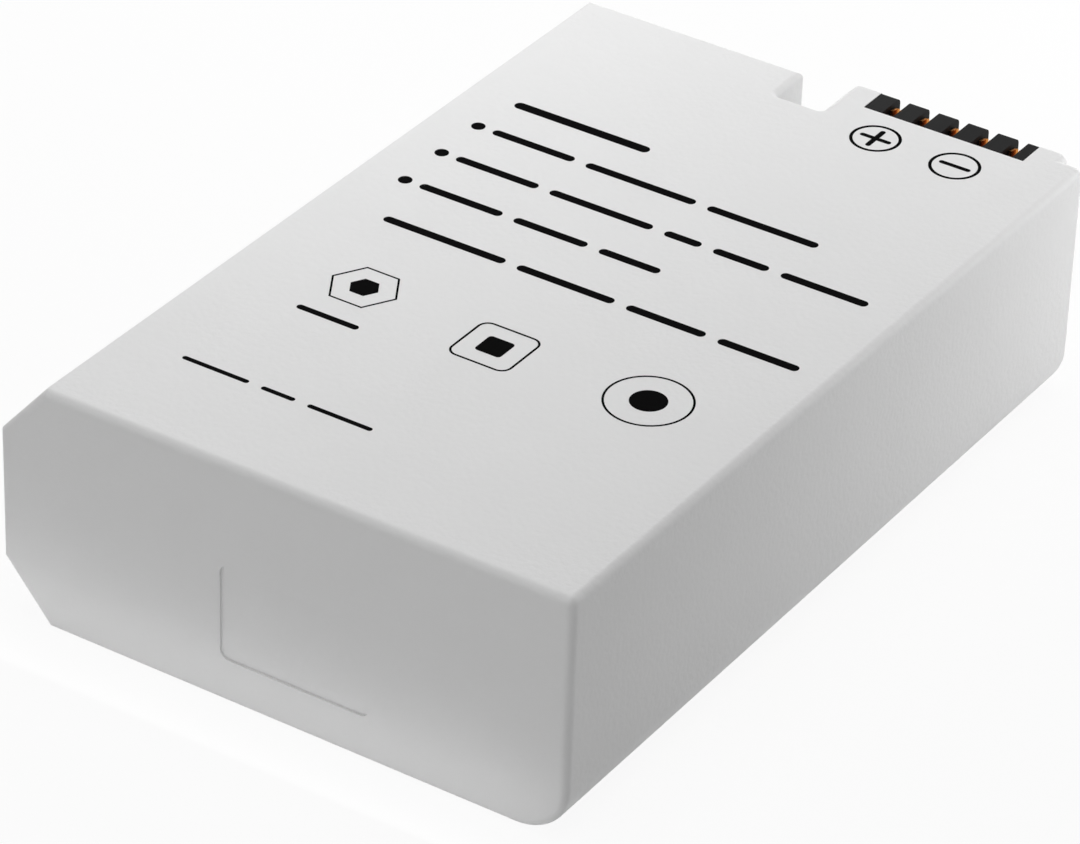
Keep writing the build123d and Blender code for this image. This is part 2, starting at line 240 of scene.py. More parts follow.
class Effect:
    """A shader node group, built once and placed in each material with its own values."""

    name = "effect"
    inputs: dict[str, tuple[Socket, object]] = {}
    outputs: dict[str, Socket] = {}

    @classmethod
    def place(cls, nodes: Nodes, **values: object) -> bpy.types.Node:
        """Places the group in a material.

        Args:
            nodes: The material's nodes.
            **values: Values or sockets for the group's inputs.

        Returns:
            The group node.
        """
        group = bpy.data.node_groups.get(cls.name) or cls.make()
        return nodes.add("ShaderNodeGroup", dict(values), node_tree=group)

    @classmethod
    def make(cls) -> bpy.types.NodeTree:
        """Makes the group with its named sockets.

        Returns:
            The finished group.
        """
        group = bpy.data.node_groups.new(cls.name, "ShaderNodeTree")
        for label, (kind, default) in cls.inputs.items():
            socket = group.interface.new_socket(label, in_out="INPUT", socket_type=kind.value)
            socket.default_value = default
        for label, kind in cls.outputs.items():
            group.interface.new_socket(label, in_out="OUTPUT", socket_type=kind.value)
        nodes = Nodes(group)
        given = nodes.add("NodeGroupInput").outputs
        found = cls.wire(nodes, given)
        nodes.add("NodeGroupOutput", dict(found))
        return group

    @classmethod
    def wire(cls, nodes: Nodes, given: bpy.types.NodeOutputs) -> dict[str, bpy.types.NodeSocket]:
        """Joins the group's nodes.

        Args:
            nodes: The group's nodes.
            given: Sockets of the group's inputs.

        Returns:
            The socket for each named output.
        """
        raise NotImplementedError


class MouldGrain(Effect):
    """Fine matte texture that a moulded surface takes from its tool."""

    name = "mould_grain"
    inputs = {"Size": (Socket.VALUE, 0.0002)}
    outputs = {"Height": Socket.VALUE, "Patch": Socket.VALUE}
    detail = 3.0
    patch_ratio = 30.0

    @classmethod
    def wire(cls, nodes: Nodes, given: bpy.types.NodeOutputs) -> dict[str, bpy.types.NodeSocket]:
        """Joins a fine noise and a broad one.

        Args:
            nodes: The group's nodes.
            given: Sockets of the group's inputs.

        Returns:
            The fine height and the broad patches.
        """
        place = nodes.add("ShaderNodeTexCoord").outputs["Object"]
        fine = nodes.math("DIVIDE", 1.0, given["Size"])
        broad = nodes.math("DIVIDE", fine, cls.patch_ratio)
        height = nodes.add("ShaderNodeTexNoise", {"Vector": place, "Scale": fine, "Detail": cls.detail})
        patch = nodes.add("ShaderNodeTexNoise", {"Vector": place, "Scale": broad, "Detail": cls.detail})
        return {"Height": height.outputs[0], "Patch": patch.outputs[0]}


class Mottle(Effect):
    """Slight unevenness of a colour."""

    name = "mottle"
    inputs = {
        "Color": (Socket.COLOR, (0.8, 0.8, 0.8, 1.0)),
        "Depth": (Socket.VALUE, 0.05),
        "Size": (Socket.VALUE, 0.003),
    }
    outputs = {"Color": Socket.COLOR}
    detail = 4.0

    @classmethod
    def wire(cls, nodes: Nodes, given: bpy.types.NodeOutputs) -> dict[str, bpy.types.NodeSocket]:
        """Darkens the colour by a noise.

        Args:
            nodes: The group's nodes.
            given: Sockets of the group's inputs.

        Returns:
            The uneven colour.
        """
        place = nodes.add("ShaderNodeTexCoord").outputs["Object"]
        scale = nodes.math("DIVIDE", 1.0, given["Size"])
        noise = nodes.add("ShaderNodeTexNoise", {"Vector": place, "Scale": scale, "Detail": cls.detail})
        least = nodes.math("SUBTRACT", 1.0, given["Depth"])
        level = nodes.spread(noise.outputs[0], least, 1.0)
        shade = nodes.add("ShaderNodeVectorMath", {0: given["Color"], "Scale": level}, operation="SCALE")
        return {"Color": shade.outputs[0]}


class RollStreaks(Effect):
    """Fine lines that rolling or drawing leaves on metal."""

    name = "roll_streaks"
    inputs = {"Width": (Socket.VALUE, 0.0001), "Run": (Socket.VECTOR, Run.ALONG_Y.value)}
    outputs = {"Streak": Socket.VALUE}
    detail = 3.0

    @classmethod
    def wire(cls, nodes: Nodes, given: bpy.types.NodeOutputs) -> dict[str, bpy.types.NodeSocket]:
        """Stretches a noise along the run.

        Args:
            nodes: The group's nodes.
            given: Sockets of the group's inputs.

        Returns:
            The streaks.
        """
        place = nodes.add("ShaderNodeTexCoord").outputs["Object"]
        drawn = nodes.add("ShaderNodeVectorMath", {0: place, 1: given["Run"]}, operation="MULTIPLY")
        scale = nodes.math("DIVIDE", 1.0, given["Width"])
        noise = nodes.add(
            "ShaderNodeTexNoise", {"Vector": drawn.outputs[0], "Scale": scale, "Detail": cls.detail}
        )
        return {"Streak": noise.outputs[0]}


class EndCaps(Effect):
    """Mask of the two ends of a small part, along one side of its box."""

    name = "end_caps"
    inputs = {"Side": (Socket.VECTOR, (1.0, 0.0, 0.0)), "Share": (Socket.VALUE, 0.2)}
    outputs = {"Caps": Socket.VALUE}
    middle = 0.5

    @classmethod
    def wire(cls, nodes: Nodes, given: bpy.types.NodeOutputs) -> dict[str, bpy.types.NodeSocket]:
        """Finds what lies far from the middle of the box.

        Args:
            nodes: The group's nodes.
            given: Sockets of the group's inputs.

        Returns:
            The mask, 1 on the caps.
        """
        place = nodes.add("ShaderNodeTexCoord").outputs["Generated"]
        along = nodes.add("ShaderNodeVectorMath", {0: place, 1: given["Side"]}, operation="DOT_PRODUCT")
        away = nodes.math("ABSOLUTE", nodes.math("SUBTRACT", along.outputs["Value"], cls.middle))
        limit = nodes.math("SUBTRACT", cls.middle, given["Share"])
        return {"Caps": nodes.math("GREATER_THAN", away, limit)}


@dataclass(frozen=True)
class Finish:
    """A finish that makes one material.

    Attributes:
        name: Name of the material.
        color: Main colour, linear.
    """

    name: str
    color: Color

    @property
    def rgba(self) -> tuple[float, float, float, float]:
        """Main colour with full alpha."""
        return opaque(self.color)

    def material(self) -> bpy.types.Material:
        """Makes the material, or finds it if it was made before.

        Returns:
            The material.
        """
        made = bpy.data.materials.get(self.name)
        if made:
            return made
        made = bpy.data.materials.new(self.name)
        nodes = Nodes.fresh(made)
        shader = nodes.add("ShaderNodeBsdfPrincipled")
        self.surface(nodes, shader)
        nodes.add("ShaderNodeOutputMaterial", {"Surface": shader.outputs["BSDF"]})
        return made

    def surface(self, nodes: Nodes, shader: bpy.types.Node) -> None:
        """Feeds the shader.

        Args:
            nodes: The material's nodes.
            shader: The material's Principled BSDF.
        """
        raise NotImplementedError


def set_relief(nodes: Nodes, shader: bpy.types.Node, height: bpy.types.NodeSocket, depth: float) -> None:
    """Gives a shader a fine relief.

    Args:
        nodes: The material's nodes.
        shader: The material's Principled BSDF.
        height: Height of 0 to 1 over the surface.
        depth: Depth that a height of 1 stands for.
    """
    bump = nodes.add("ShaderNodeBump", {"Height": height, "Distance": depth, "Strength": 1.0})
    nodes.feed(shader.inputs["Normal"], bump.outputs["Normal"])


def set_tone(
    nodes: Nodes, shader: bpy.types.Node, color: bpy.types.NodeSocket,
    wear: bpy.types.NodeSocket, roughness: tuple[float, float],
) -> None:
    """Gives a shader its colour and its roughness over the surface.

    Args:
        nodes: The material's nodes.
        shader: The material's Principled BSDF.
        color: Colour over the surface.
        wear: Value of 0 to 1 over the surface.
        roughness: Roughness where that value is 0 and where it is 1.
    """
    nodes.feed(shader.inputs["Base Color"], color)
    nodes.feed(shader.inputs["Roughness"], nodes.spread(wear, *roughness))


@dataclass(frozen=True)
class MouldedPlastic(Finish):
    """Moulded plastic with the matte texture of its tool.

    Attributes:
        roughness: Least and most roughness over the surface.
        grain: Size of the texture's grain.
        relief: Depth of the texture.
        mottle: Share by which the colour darkens in places.
        patch: Size of those places.
        shine: Strength of its reflections.
    """

    roughness: tuple[float, float] = (0.5, 0.6)
    grain: float = 0.0002
    relief: float = 2e-6
    mottle: float = 0.04
    patch: float = 0.004
    shine: float = 0.5

    def surface(self, nodes: Nodes, shader: bpy.types.Node) -> None:
        """Feeds the shader.

        Args:
            nodes: The material's nodes.
            shader: The material's Principled BSDF.
        """
        grain = MouldGrain.place(nodes, Size=self.grain)
        tone = Mottle.place(nodes, Color=self.rgba, Depth=self.mottle, Size=self.patch)
        set_tone(nodes, shader, tone.outputs["Color"], grain.outputs["Patch"], self.roughness)
        shader.inputs["Specular IOR Level"].default_value = self.shine
        set_relief(nodes, shader, grain.outputs["Height"], self.relief)


@dataclass(frozen=True)
class RolledMetal(Finish):
    """Bare rolled or drawn metal.

    Attributes:
        run: Direction of its streaks.
        roughness: Least and most roughness over the surface.
        streak: Width of a streak.
        relief: Depth of a streak.
        tarnish: Share by which the colour darkens in places.
        patch: Size of those places.
        rim: Tint of what it reflects at a glancing angle.
    """

    run: Run = Run.ALONG_Y
    roughness: tuple[float, float] = (0.2, 0.35)
    streak: float = 0.00008
    relief: float = 1e-6
    tarnish: float = 0.15
    patch: float = 0.002
    rim: Color = (1.0, 1.0, 1.0)

    def surface(self, nodes: Nodes, shader: bpy.types.Node) -> None:
        """Feeds the shader.

        Args:
            nodes: The material's nodes.
            shader: The material's Principled BSDF.
        """
        streak = RollStreaks.place(nodes, Width=self.streak, Run=self.run.value).outputs["Streak"]
        tone = Mottle.place(nodes, Color=self.rgba, Depth=self.tarnish, Size=self.patch)
        shader.inputs["Metallic"].default_value = 1.0
        shader.inputs["Specular Tint"].default_value = opaque(self.rim)
        set_tone(nodes, shader, tone.outputs["Color"], streak, self.roughness)
        set_relief(nodes, shader, streak, self.relief)


@dataclass(frozen=True)
class CellFoam(Finish):
    """Closed-cell foam.

    Attributes:
        cell: Size of a cell.
        relief: Depth of a cell.
        lit_wall: Lighter colour painted on the raised walls between cells as painted light, which leaves
            the sunken cell middles in painted shade.
        roughness: Roughness all over.
    """

    cell: float = 0.0003
    relief: float = 0.00005
    lit_wall: Color = (0.2, 0.2, 0.21)
    roughness: float = 0.95

    def surface(self, nodes: Nodes, shader: bpy.types.Node) -> None:
        """Feeds the shader.

        Args:
            nodes: The material's nodes.
            shader: The material's Principled BSDF.
        """
        place = nodes.add("ShaderNodeTexCoord").outputs["Object"]
        cells = nodes.add("ShaderNodeTexVoronoi", {"Vector": place, "Scale": 1.0 / self.cell})
        away = cells.outputs["Distance"]
        # Painted light and shade: the colour darkens from the raised cell walls to the sunken middle of
        # each cell, following the relief.
        nodes.feed(shader.inputs["Base Color"], nodes.blend(away, self.rgba, opaque(self.lit_wall)))
        shader.inputs["Roughness"].default_value = self.roughness
        set_relief(nodes, shader, away, self.relief)


@dataclass(frozen=True)
class FibrePaper(Finish):
    """Pressed insulating paper or film tape, with fibres or ripples that cross.

    Attributes:
        fibre: Width of a fibre.
        relief: Depth of the fibres.
        mottle: Share by which the colour darkens in places.
        roughness: Least and most roughness over the surface.
    """

    fibre: float = 0.00012
    relief: float = 6e-6
    mottle: float = 0.2
    roughness: tuple[float, float] = (0.65, 0.85)

    def surface(self, nodes: Nodes, shader: bpy.types.Node) -> None:
        """Feeds the shader.

        Args:
            nodes: The material's nodes.
            shader: The material's Principled BSDF.
        """
        lay = RollStreaks.place(nodes, Width=self.fibre, Run=Run.ALONG_X.value).outputs["Streak"]
        cross = RollStreaks.place(nodes, Width=self.fibre, Run=Run.ALONG_Z.value).outputs["Streak"]
        felt = nodes.math("MULTIPLY", lay, cross)
        tone = Mottle.place(nodes, Color=self.rgba, Depth=self.mottle, Size=self.fibre)
        set_tone(nodes, shader, tone.outputs["Color"], felt, self.roughness)
        set_relief(nodes, shader, felt, self.relief)


@dataclass(frozen=True)
class BoardLaminate(Finish):
    """Solder resist over the copper of a circuit board, with straight and slanting gaps between its areas.

    Attributes:
        track: Colour over the copper.
        pitch: Usual size of an area of copper.
        gap: Share of that size that is bare laminate.
        uneven: Share by which the colour over the copper darkens in places.
        relief: Height of the copper.
        roughness: Least and most roughness over the surface.
        turn: Turn that lays the upright board level, since its areas are drawn in X and Y.
    """

    track: Color = (0.06, 0.3, 0.12)
    pitch: float = 0.0036
    gap: float = 0.06
    uneven: float = 0.06
    relief: float = 0.00002
    roughness: tuple[float, float] = (0.28, 0.4)
    turn: Place = (QUARTER_TURN, 0.0, 0.0)

    def surface(self, nodes: Nodes, shader: bpy.types.Node) -> None:
        """Feeds the shader.

        Args:
            nodes: The material's nodes.
            shader: The material's Principled BSDF.
        """
        place = nodes.add("ShaderNodeTexCoord").outputs["Object"]
        level = nodes.add("ShaderNodeMapping", {"Vector": place, "Rotation": self.turn})
        nearest, second = (
            nodes.add(
                "ShaderNodeTexVoronoi", {"Vector": level.outputs[0], "Scale": 1.0 / self.pitch},
                voronoi_dimensions="2D", distance="MANHATTAN", feature=feature,
            ).outputs["Distance"]
            for feature in ("F1", "F2")
        )
        grain = MouldGrain.place(nodes, Size=self.pitch)
        tone = Mottle.place(nodes, Color=opaque(self.track), Depth=self.uneven, Size=self.pitch)
        bare = nodes.math("LESS_THAN", nodes.math("SUBTRACT", second, nearest), self.gap)
        color = nodes.blend(bare, tone.outputs["Color"], self.rgba)
        set_tone(nodes, shader, color, grain.outputs["Patch"], self.roughness)
        set_relief(nodes, shader, nodes.math("SUBTRACT", 1.0, bare), self.relief)


@dataclass(frozen=True)
class CappedBody(Finish):
    """Body of a small board part with tinned ends.

    Attributes:
        side: Unit vector along which its two ends lie.
        share: Share of its length that each end takes.
        tin: Colour of the ends.
        roughness: Least and most roughness over the surface.
        mottle: Share by which the body darkens in places.
        grain: Size of its texture.
        relief: Depth of its texture.
    """

    side: Place = (0.0, 0.0, 1.0)
    share: float = 0.22
    tin: Color = (0.7, 0.69, 0.67)
    roughness: tuple[float, float] = (0.3, 0.45)
    mottle: float = 0.1
    grain: float = 0.0001
    relief: float = 3e-6

    def surface(self, nodes: Nodes, shader: bpy.types.Node) -> None:
        """Feeds the shader.

        Args:
            nodes: The material's nodes.
            shader: The material's Principled BSDF.
        """
        caps = EndCaps.place(nodes, Side=self.side, Share=self.share).outputs["Caps"]
        grain = MouldGrain.place(nodes, Size=self.grain)
        tone = Mottle.place(nodes, Color=self.rgba, Depth=self.mottle, Size=self.grain)
        color = nodes.blend(caps, tone.outputs["Color"], opaque(self.tin))
        set_tone(nodes, shader, color, grain.outputs["Patch"], self.roughness)
        nodes.feed(shader.inputs["Metallic"], caps)
        set_relief(nodes, shader, grain.outputs["Height"], self.relief)


FINISHES: dict[Slot, Finish] = {
    Slot.CASE: MouldedPlastic(
        "case_moulding", (0.8, 0.8, 0.8), (0.55, 0.62), grain=0.00035, relief=2.5e-5, mottle=0.025
    ),
    Slot.TERMINAL: MouldedPlastic(
        "terminal_moulding", (0.004, 0.004, 0.0042), (0.5, 0.6), grain=0.00008, relief=1.5e-6, mottle=0.15,
        patch=0.0008, shine=0.065,
    ),
    Slot.CONTACT: RolledMetal(
        "contact_strip", (0.62, 0.29, 0.12), Run.ALONG_Y, (0.22, 0.34), streak=0.00003,
        rim=(0.9, 0.58, 0.32),
    ),
    Slot.CAN: RolledMetal("drawn_can", (0.72, 0.73, 0.75), Run.ALONG_Y, (0.3, 0.42)),
    Slot.GASKET: MouldedPlastic("gasket_moulding", (0.05, 0.05, 0.055), (0.3, 0.4), relief=5e-7),
    Slot.STRIP: RolledMetal("nickel_strip_rolled", (0.66, 0.64, 0.6), Run.ALONG_Z, (0.25, 0.38)),
    Slot.FOAM: CellFoam("bedding_foam", (0.06, 0.06, 0.065)),
    Slot.TAPE: FibrePaper(
        "double_tape", (0.82, 0.8, 0.72), fibre=0.0004, mottle=0.08, roughness=(0.3, 0.45)
    ),
    Slot.PAPER: FibrePaper("pole_paper", (0.34, 0.4, 0.33)),
    Slot.FUSE: MouldedPlastic("fuse_coating", (0.62, 0.5, 0.12), (0.3, 0.4), relief=8e-7),
    Slot.BOARD: BoardLaminate("board_resist", (0.02, 0.12, 0.05)),
    Slot.CHIP: MouldedPlastic("chip_moulding", (0.03, 0.03, 0.032), (0.45, 0.6), grain=0.0001, relief=3e-6),
    Slot.RESISTOR: CappedBody("resistor_glaze", (0.05, 0.05, 0.055), side=(1.0, 0.0, 0.0)),
    Slot.CAPACITOR: CappedBody("capacitor_ceramic", (0.5, 0.36, 0.22)),
}
# The thermistor stands upright, so unlike the resistor's, its ends lie along Z.
THERMISTOR = CappedBody("thermistor_glaze", (0.05, 0.05, 0.055))
INK = MouldedPlastic(
    "black_ink", (0.003, 0.003, 0.0031), (0.75, 0.85), grain=0.0001, relief=8e-7, mottle=0.3, shine=0.01
)


def rounded_box(middle: Point, size: Point, radius: float, steps: int) -> list[Point]:
    """Outline of a rectangle with round corners, which may be a bar with round ends or a circle.

    Args:
        middle: Its middle.
        size: Its width and height.
        radius: Radius of its corners.
        steps: Edges in each corner.

    Returns:
        Its points, anticlockwise, each one once.
    """
    across, up = size[0] / 2 - radius, size[1] / 2 - radius
    points = []
    for quarter, (side_x, side_y) in enumerate(((1, 1), (-1, 1), (-1, -1), (1, -1))):
        for step in range(steps + 1):
            angle = (quarter + step / steps) * QUARTER_TURN
            points.append((
                middle[0] + side_x * across + radius * math.cos(angle),
                middle[1] + side_y * up + radius * math.sin(angle),
            ))
    pairs = zip([points[-1], *points], points)
    return [here for before, here in pairs if math.dist(before, here) > SAME_POINT]


def round_plus(middle: Point, length: float, width: float, steps: int) -> list[Point]:
    """Outline of a plus with round ends.

    Args:
        middle: Its middle.
        length: Length of its bars.
        width: Width of its bars.
        steps: Edges in each round end.

    Returns:
        Its points, anticlockwise.
    """
    half = width / 2
    points = []
    for arm in range(QUARTERS):
        turn = arm * QUARTER_TURN
        along, aside = (math.cos(turn), math.sin(turn)), (-math.sin(turn), math.cos(turn))
        places = [(half, -half)]
        for step in range(steps + 1):
            angle = (2 * step / steps - 1) * QUARTER_TURN
            places.append((length / 2 - half + half * math.cos(angle), half * math.sin(angle)))
        points += [(middle[0] + a * along[0] + b * aside[0], middle[1] + a * along[1] + b * aside[1])
                   for a, b in places]
    return points


def regular_polygon(middle: Point, radius: float, sides: int) -> list[Point]:
    """Outline of a regular polygon with a corner to the right.

    Args:
        middle: Its middle.
        radius: Distance of its corners from the middle.
        sides: Number of its sides.

    Returns:
        Its points, anticlockwise.
    """
    angles = (2 * math.pi * side / sides for side in range(sides))
    return [(middle[0] + radius * math.cos(a), middle[1] + radius * math.sin(a)) for a in angles]


@dataclass
class InkFilm:
    """A thin closed layer of ink on a level face.

    Attributes:
        name: Name of the piece.
        face: Height of the face that carries it.
        proud: Height of the ink above that face.
        sunk: Depth by which the ink keys into it.
        mesh: Its mesh while it is drawn.
    """

    name: str
    face: float
    proud: float
    sunk: float
    mesh: bmesh.types.BMesh = field(default_factory=bmesh.new)

    def ring(self, outline: Sequence[Point], height: float) -> list[bmesh.types.BMVert]:
        """Adds the points of an outline at one height.

        Args:
            outline: Points in millimetres.
            height: Height in metres.

        Returns:
            The new vertices.
        """
        return [self.mesh.verts.new((x * MM, y * MM, height)) for x, y in outline]

    def walls(self, low: Sequence[bmesh.types.BMVert], high: Sequence[bmesh.types.BMVert]) -> None:
        """Joins two rings of vertices by quads.

        Args:
            low: First ring, anticlockwise.
            high: Second ring, with as many vertices.
        """
        for here, after in zip(range(len(low)), [*range(1, len(low)), 0]):
            self.mesh.faces.new((low[here], low[after], high[after], high[here]))

    def fill(self, outline: Sequence[Point]) -> None:
        """Prints a filled shape.

        Args:
            outline: Its points in millimetres, anticlockwise.
        """
        low = self.ring(outline, self.face - self.sunk)
        high = self.ring(outline, self.face + self.proud)
        self.mesh.faces.new(high)
        self.mesh.faces.new(low[::-1])
        self.walls(low, high)

    def band(self, outer: Sequence[Point], inner: Sequence[Point]) -> None:
        """Prints the band between two outlines.

        Args:
            outer: Outer points in millimetres, anticlockwise.
            inner: Inner points, as many as the outer ones.
        """
        levels = (self.face - self.sunk, self.face + self.proud)
        outer_low, outer_high = (self.ring(outer, level) for level in levels)
        inner_low, inner_high = (self.ring(inner, level) for level in levels)
        self.walls(outer_low, outer_high)
        self.walls(outer_high, inner_high)
        self.walls(inner_high, inner_low)
        self.walls(inner_low, outer_low)

    def piece(self) -> None:
        """Makes the piece and fixes it to the battery."""
        data = bpy.data.meshes.new(self.name)
        self.mesh.to_mesh(data)
        self.mesh.free()
        data.materials.append(INK.material())
        made = add_object(self.name, data)
        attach(made, BODY)
        log.info("printed %s with %d faces", self.name, len(data.polygons))


@dataclass(frozen=True)
class PrintRow:
    """One row of printed dashes, in millimetres.

    Attributes:
        start: X of its left end.
        middle: Y of its middle.
        height: Height of its dashes.
        dashes: Lengths of its dashes from the left.
        dotted: Whether a dot stands before it.
    """

    start: float
    middle: float
    height: float
    dashes: tuple[float, ...]
    dotted: bool = False


@dataclass
class Assembly:
    """A sub-assembly whose solids the frame holds.

    Attributes:
        solids: Slot of each of its CAD nodes.
    """

    solids: dict[str, Slot] = field(default_factory=dict)

    def build(self) -> None:
        """Makes the pieces that the frame lacks; most have none."""

    def dress(self) -> None:
        """Gives each CAD node its finish."""
        for name, slot in self.solids.items():
            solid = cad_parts[name]
            solid.material_slots[0].material = FINISHES[slot].material()
            log.info("dressed %s as %s", name, slot.value)


@dataclass
class CaseShell(Assembly):
    """The two mouldings of the case and the print on the upper one, in millimetres.

    Attributes:
        proud: Height of the ink above the top face.
        sunk: Depth by which it keys into the face.
        gap: Room between the dashes of a row.
        dot: Diameter of the dot before a row.
        dot_room: Distance from that dot's middle to the row.
        rows: Rows of dashes.
        corner_steps: Edges in each round corner of the print.
        line: Width of a drawn line.
        hexagon: Middle and radius of the plain hexagon.
        hexagon_sides: Number of its sides.
        square: Middle and side of the plain square.
        square_corner: Radius of the square's corners.
        circle: Middle and diameter of the plain circle.
        core_share: Size of the filled shape inside each outline, as a share of it.
        poles: Middle of each polarity mark.
        pole_ring: Diameter of the ring round a polarity mark.
        pole_line: Width of that ring.
        pole_bar: Length and width of a polarity bar.
    """

    solids: dict[str, Slot] = field(
        default_factory=lambda: {"main_case": Slot.CASE, "base_cover": Slot.CASE}
    )
    proud: float = 0.008
    sunk: float = 0.012
    gap: float = 0.85
    dot: float = 0.85
    dot_room: float = 1.05
    rows: tuple[PrintRow, ...] = (
        PrintRow(-12.2, 13.4, 0.72, (9.3,)),
        PrintRow(-11.45, 9.95, 0.62, (5.6, 7.4, 7.3), True),
        PrintRow(-11.45, 6.15, 0.62, (5.6, 6.9, 2.4, 3.6, 5.6), True),
        PrintRow(-11.4, 2.35, 0.62, (5.6, 4.9, 4.0), True),
        PrintRow(-11.0, -1.85, 0.62, (8.2, 6.4, 5.1, 5.15)),
        PrintRow(-9.5, -12.45, 0.45, (4.1,)),
        PrintRow(-11.45, -20.4, 0.34, (4.4, 2.2, 4.2)),
    )
    corner_steps: int = 12
    line: float = 0.14
    hexagon: tuple[Point, float] = ((-7.6, -8.7), 2.2)
    hexagon_sides: int = 6
    square: tuple[Point, float] = ((1.7, -9.6), 4.0)
    square_corner: float = 0.7
    circle: tuple[Point, float] = ((11.45, -9.3), 5.1)
    core_share: float = 0.42
    poles: tuple[Point, Point] = ((6.99, 22.45), (12.33, 22.4))
    pole_ring: float = 3.09
    pole_line: float = 0.2
    pole_bar: Point = (2.06, 0.33)

    def film(self, name: str) -> InkFilm:
        """Starts a film of ink on the top face.

        Args:
            name: Name of the piece.

        Returns:
            The empty film.
        """
        return InkFilm(name, cad_box[1].z, self.proud * MM, self.sunk * MM)

    def disc(self, middle: Point, diameter: float) -> list[Point]:
        """Outline of a circle.

        Args:
            middle: Its middle.
            diameter: Its diameter.

        Returns:
            Its points.
        """
        return rounded_box(middle, (diameter, diameter), diameter / 2, self.corner_steps)

    def build(self) -> None:
        """Prints the rows, the plain shapes and the polarity marks."""
        self.print_rows()
        self.print_shapes()
        self.print_poles()

    def print_rows(self) -> None:
        """Prints the rows of dashes."""
        film = self.film("print_rows")
        for row in self.rows:
            left = row.start
            for length in row.dashes:
                middle = (left + length / 2, row.middle)
                film.fill(rounded_box(middle, (length, row.height), row.height / 2, self.corner_steps))
                left += length + self.gap
            if row.dotted:
                film.fill(self.disc((row.start - self.dot_room, row.middle), self.dot))
        film.piece()

    def print_shapes(self) -> None:
        """Prints the plain outline shapes, each with a small filled one inside."""
        film = self.film("print_shapes")
        middle, radius = self.hexagon
        outer, inner, core = (
            regular_polygon(middle, reach, self.hexagon_sides)
            for reach in (radius, radius - self.line, radius * self.core_share)
        )
        film.band(outer, inner)
        film.fill(core)
        middle, side = self.square
        inside, corner = side - 2 * self.line, self.square_corner - self.line
        film.band(
            rounded_box(middle, (side, side), self.square_corner, self.corner_steps),
            rounded_box(middle, (inside, inside), corner, self.corner_steps),
        )
        small = side * self.core_share
        film.fill(rounded_box(middle, (small, small), corner * self.core_share, self.corner_steps))
        middle, diameter = self.circle
        film.band(self.disc(middle, diameter), self.disc(middle, diameter - 2 * self.line))
        film.fill(self.disc(middle, diameter * self.core_share))
        film.piece()

    def print_poles(self) -> None:
        """Prints the plus and the minus, each in a ring."""
        length, width = self.pole_bar
        hole = self.pole_ring - 2 * self.pole_line
        for pole, middle in zip(Pole, self.poles):
            film = self.film(pole.value)
            film.band(self.disc(middle, self.pole_ring), self.disc(middle, hole))
            if pole is Pole.PLUS:
                film.fill(round_plus(middle, length, width, self.corner_steps))
            else:
                film.fill(rounded_box(middle, self.pole_bar, width / 2, self.corner_steps))
            film.piece()


@dataclass
class TerminalEnd(Assembly):
    """The slotted terminal block and its fork contacts.

    Attributes:
        contacts: Number of contacts.
    """

    contacts: int = 5

    def dress(self) -> None:
        """Gives the block and each contact its finish."""
        self.solids = {"terminal_block": Slot.TERMINAL}
        self.solids |= {f"contact_{place + 1}": Slot.CONTACT for place in range(self.contacts)}
        super().dress()


@dataclass
class CellStack(Assembly):
    """The two cells with their poles, pads, tape and paper.

    Attributes:
        cells: Names of the cells' places.
    """

    cells: tuple[str, str] = ("upper", "lower")

    def dress(self) -> None:
        """Gives each piece of the stack its finish."""
        kinds = {"cell": Slot.CAN, "gasket": Slot.GASKET, "rivet": Slot.STRIP, "pad": Slot.FOAM}
        self.solids = {f"{cell}_{kind}": slot for cell in self.cells for kind, slot in kinds.items()}
        self.solids |= {"end_pad": Slot.FOAM, "cell_tape": Slot.TAPE, "end_insulator": Slot.PAPER}
        super().dress()


@dataclass
class CellWiring(Assembly):
    """The strips that join the cells to the board, and the fuse in one of them.

    Attributes:
        strips: Names of the strips.
    """

    strips: tuple[str, ...] = ("positive_tab", "fuse_lead", "negative_tab", "series_link", "tap_lead")

    def dress(self) -> None:
        """Gives the strips and the fuse their finish."""
        self.solids = dict.fromkeys(self.strips, Slot.STRIP) | {"fuse": Slot.FUSE}
        super().dress()


@dataclass
class ProtectionBoard(Assembly):
    """The circuit board and its parts.

    Attributes:
        capacitors: Number of capacitors.
    """

    capacitors: int = 3

    def dress(self) -> None:
        """Gives the board and each part on it its finish."""
        self.solids = {
            "circuit_board": Slot.BOARD, "control_chip": Slot.CHIP, "power_switch": Slot.CHIP,
            "sense_resistor": Slot.RESISTOR, "thermistor": Slot.RESISTOR,
        }
        self.solids |= {f"capacitor_{place + 1}": Slot.CAPACITOR for place in range(self.capacitors)}
        super().dress()
        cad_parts["thermistor"].material_slots[0].material = THERMISTOR.material()


@dataclass(frozen=True)
class SoftBox:
    """A soft studio lamp.

    Attributes:
        name: Name of the lamp.
        place: Where it stands.
        aim: Point that it faces.
        size: Its width and height.
        power: Its power in watts.
    """

    name: str
    place: Place
    aim: Place
    size: Point
    power: float

    def hang(self) -> None:
        """Adds the lamp to the scene."""
        lamp = bpy.data.lights.new(self.name, "AREA")
        lamp.shape = "RECTANGLE"
        lamp.size, lamp.size_y = self.size
        lamp.energy = self.power
        made = add_object(self.name, lamp)
        made.location = self.place
        made.rotation_euler = facing(self.place, self.aim).to_euler()
        made.visible_camera = False
        log.info("hung %s", self.name)


